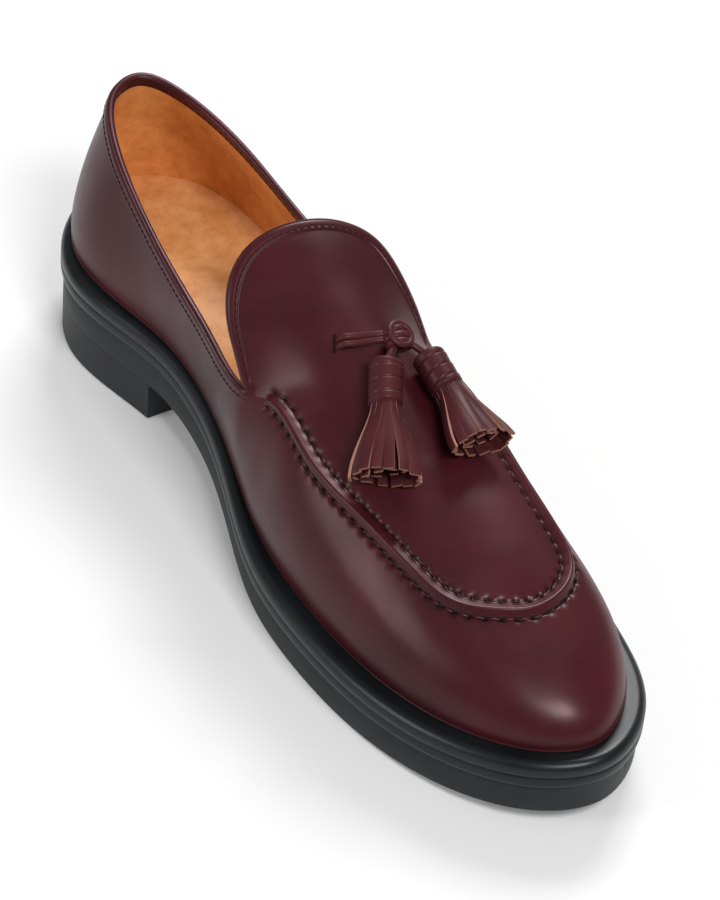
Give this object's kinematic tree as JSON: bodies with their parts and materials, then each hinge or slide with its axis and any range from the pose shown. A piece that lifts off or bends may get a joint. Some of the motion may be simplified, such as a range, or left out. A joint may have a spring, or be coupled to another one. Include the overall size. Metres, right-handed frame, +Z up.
{
  "type": "tassel loafer",
  "caption": "Slip-on leather tassel loafer for the left foot: one-piece upper with tongue and raised apron seam, low block heel, welted rubber sole, and tassels hung from a knotted thong.",
  "frame": {"origin": "on the floor under the middle of the shoe's box", "axes": "toe toward -Y, heel toward +Y, outer (lateral) side +X, +Z up"},
  "size_m": [0.0884, 0.272, 0.0919],
  "materials": {
    "upper_leather": "semi-gloss burgundy box calf",
    "tassel_leather": "semi-gloss burgundy strap leather with raw cut edges",
    "lining_leather": "matt tan vegetable-tanned lining leather",
    "welt_rubber": "satin blue-black rubber",
    "sole_rubber": "matt grey-black rubber"
  },
  "bodies": {
    "root": {"outsole": "sole_rubber", "heel": "sole_rubber", "welt": "welt_rubber", "insole": "lining_leather", "upper": "upper_leather", "tassel_thong": "tassel_leather", "tassel_medial": "tassel_leather", "tassel_lateral": "tassel_leather"}
  },
  "joints": []
}
